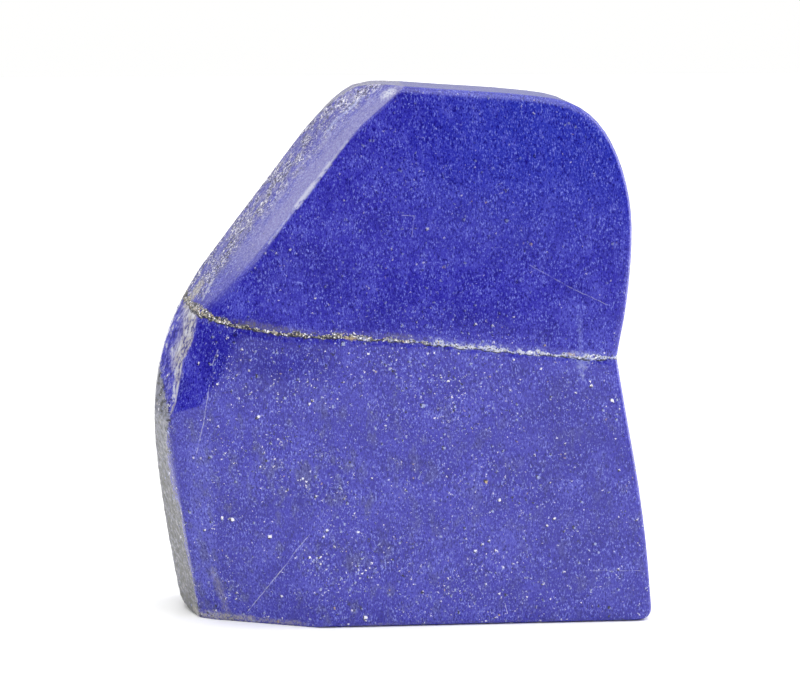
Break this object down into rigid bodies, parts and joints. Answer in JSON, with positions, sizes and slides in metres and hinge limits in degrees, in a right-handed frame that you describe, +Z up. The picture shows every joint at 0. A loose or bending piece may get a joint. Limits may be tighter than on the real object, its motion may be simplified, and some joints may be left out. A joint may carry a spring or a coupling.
{
  "type": "polished lapis lazuli freeform",
  "caption": "Standing freeform of polished lapis lazuli: a thick tapering slab with a lapped chamfer down one shoulder, a pale vein across it and a flat sawn base to stand on.",
  "frame": {"origin": "on the ground under the middle of the stone's box, in the plane of the sawn base", "axes": "+Z up, -Y out of the broad front face that the picture shows, +X to the right in the front view"},
  "size_m": [0.0902, 0.0284, 0.0976],
  "materials": {
    "lapis_lazuli": "polished"
  },
  "bodies": {
    "root": {"lapis_stone": "lapis_lazuli"}
  },
  "joints": []
}
